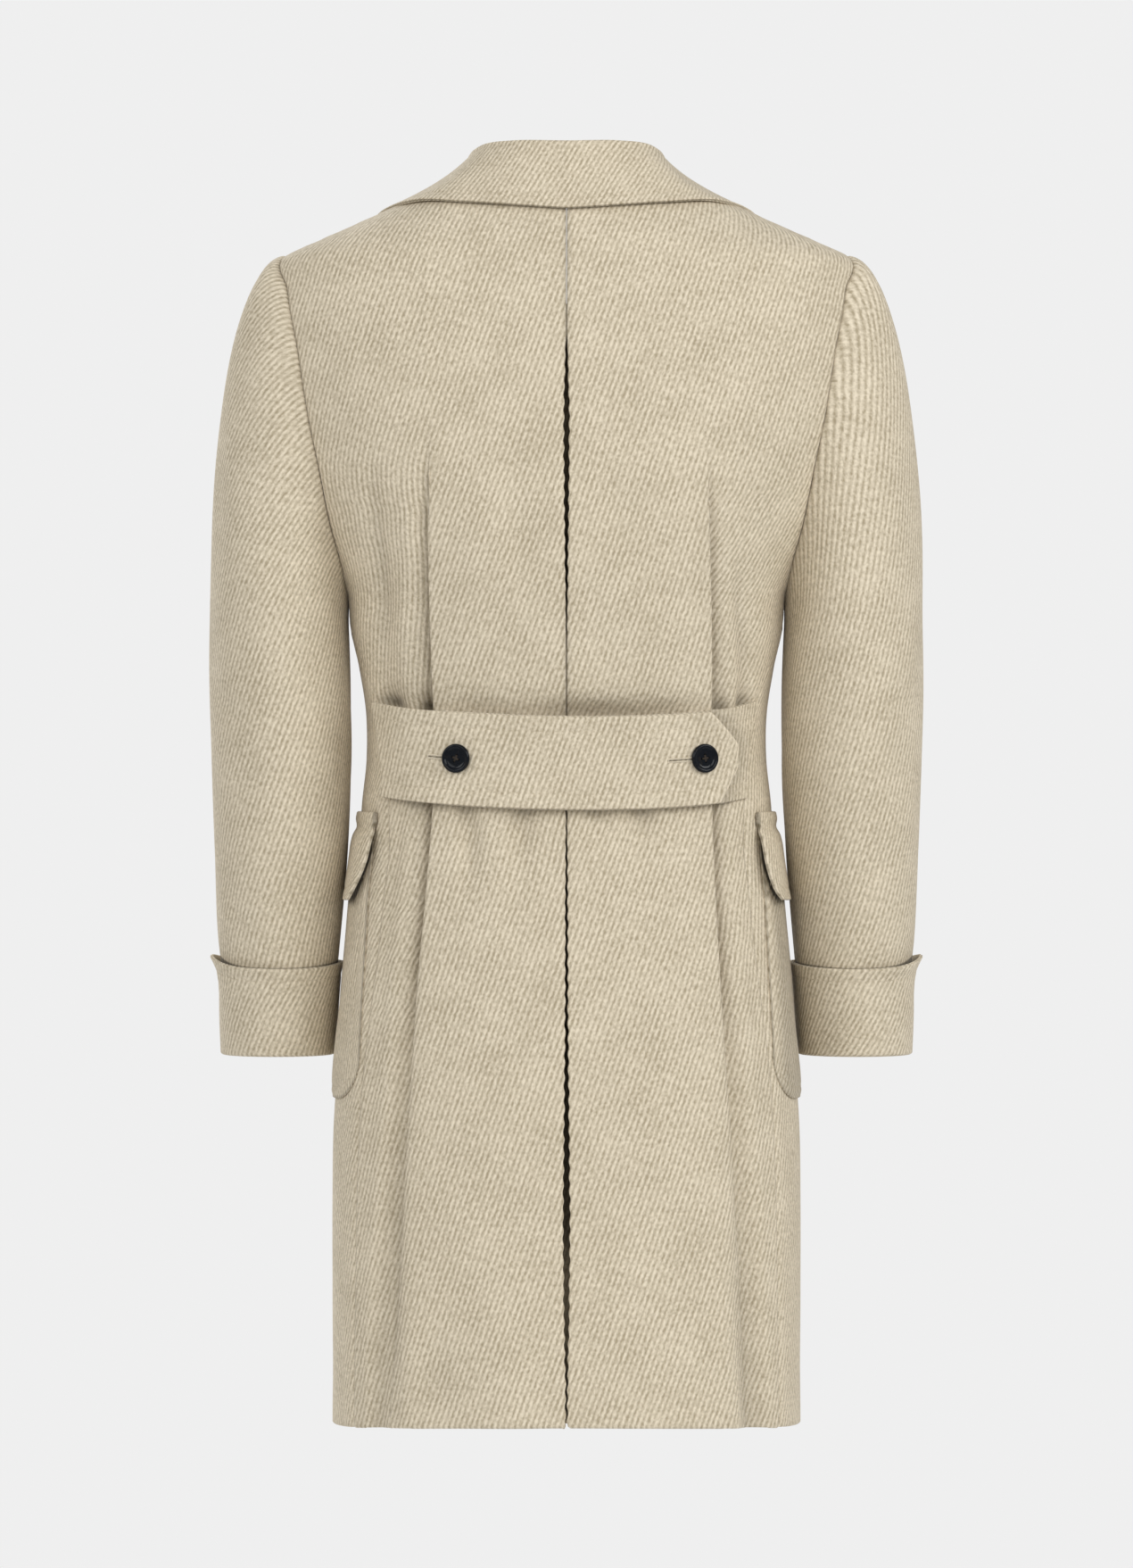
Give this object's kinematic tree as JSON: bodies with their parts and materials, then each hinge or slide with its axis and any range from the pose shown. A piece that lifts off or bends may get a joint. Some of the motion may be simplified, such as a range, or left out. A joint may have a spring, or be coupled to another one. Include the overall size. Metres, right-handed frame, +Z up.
{
  "type": "polo coat",
  "caption": "Double-breasted polo coat, hollow as worn, with a wide folded collar, half belt over a pleated back, patch pockets with flaps and turned-back cuffs.",
  "frame": {"origin": "middle of the neck, level with the collar seam, where the wearer's shoulders hold the coat up", "axes": "+Z up, +Y the way the wearer faces, +X to the wearer's right"},
  "size_m": [0.5994, 0.2889, 1.0697],
  "materials": {
    "coat_cloth": "camel-beige melange wool twill with broad raised diagonal ribs and a soft nap",
    "horn_button": "polished dark blue-black horn"
  },
  "bodies": {
    "root": {"back_left": "coat_cloth", "back_right": "coat_cloth", "pleat_underlay": "coat_cloth", "front_left": "coat_cloth", "front_right": "coat_cloth", "lapel_left": "coat_cloth", "lapel_right": "coat_cloth", "collar": "coat_cloth", "sleeve_left": "coat_cloth", "sleeve_right": "coat_cloth", "cuff_left": "coat_cloth", "cuff_right": "coat_cloth", "belt_over": "coat_cloth", "belt_under": "coat_cloth", "pocket_left": "coat_cloth", "pocket_right": "coat_cloth", "flap_left": "coat_cloth", "flap_right": "coat_cloth", "belt_button_left": "horn_button", "belt_button_right": "horn_button", "front_button_left_1": "horn_button", "front_button_left_2": "horn_button", "front_button_left_3": "horn_button", "front_button_right_1": "horn_button", "front_button_right_2": "horn_button", "front_button_right_3": "horn_button"}
  },
  "joints": []
}
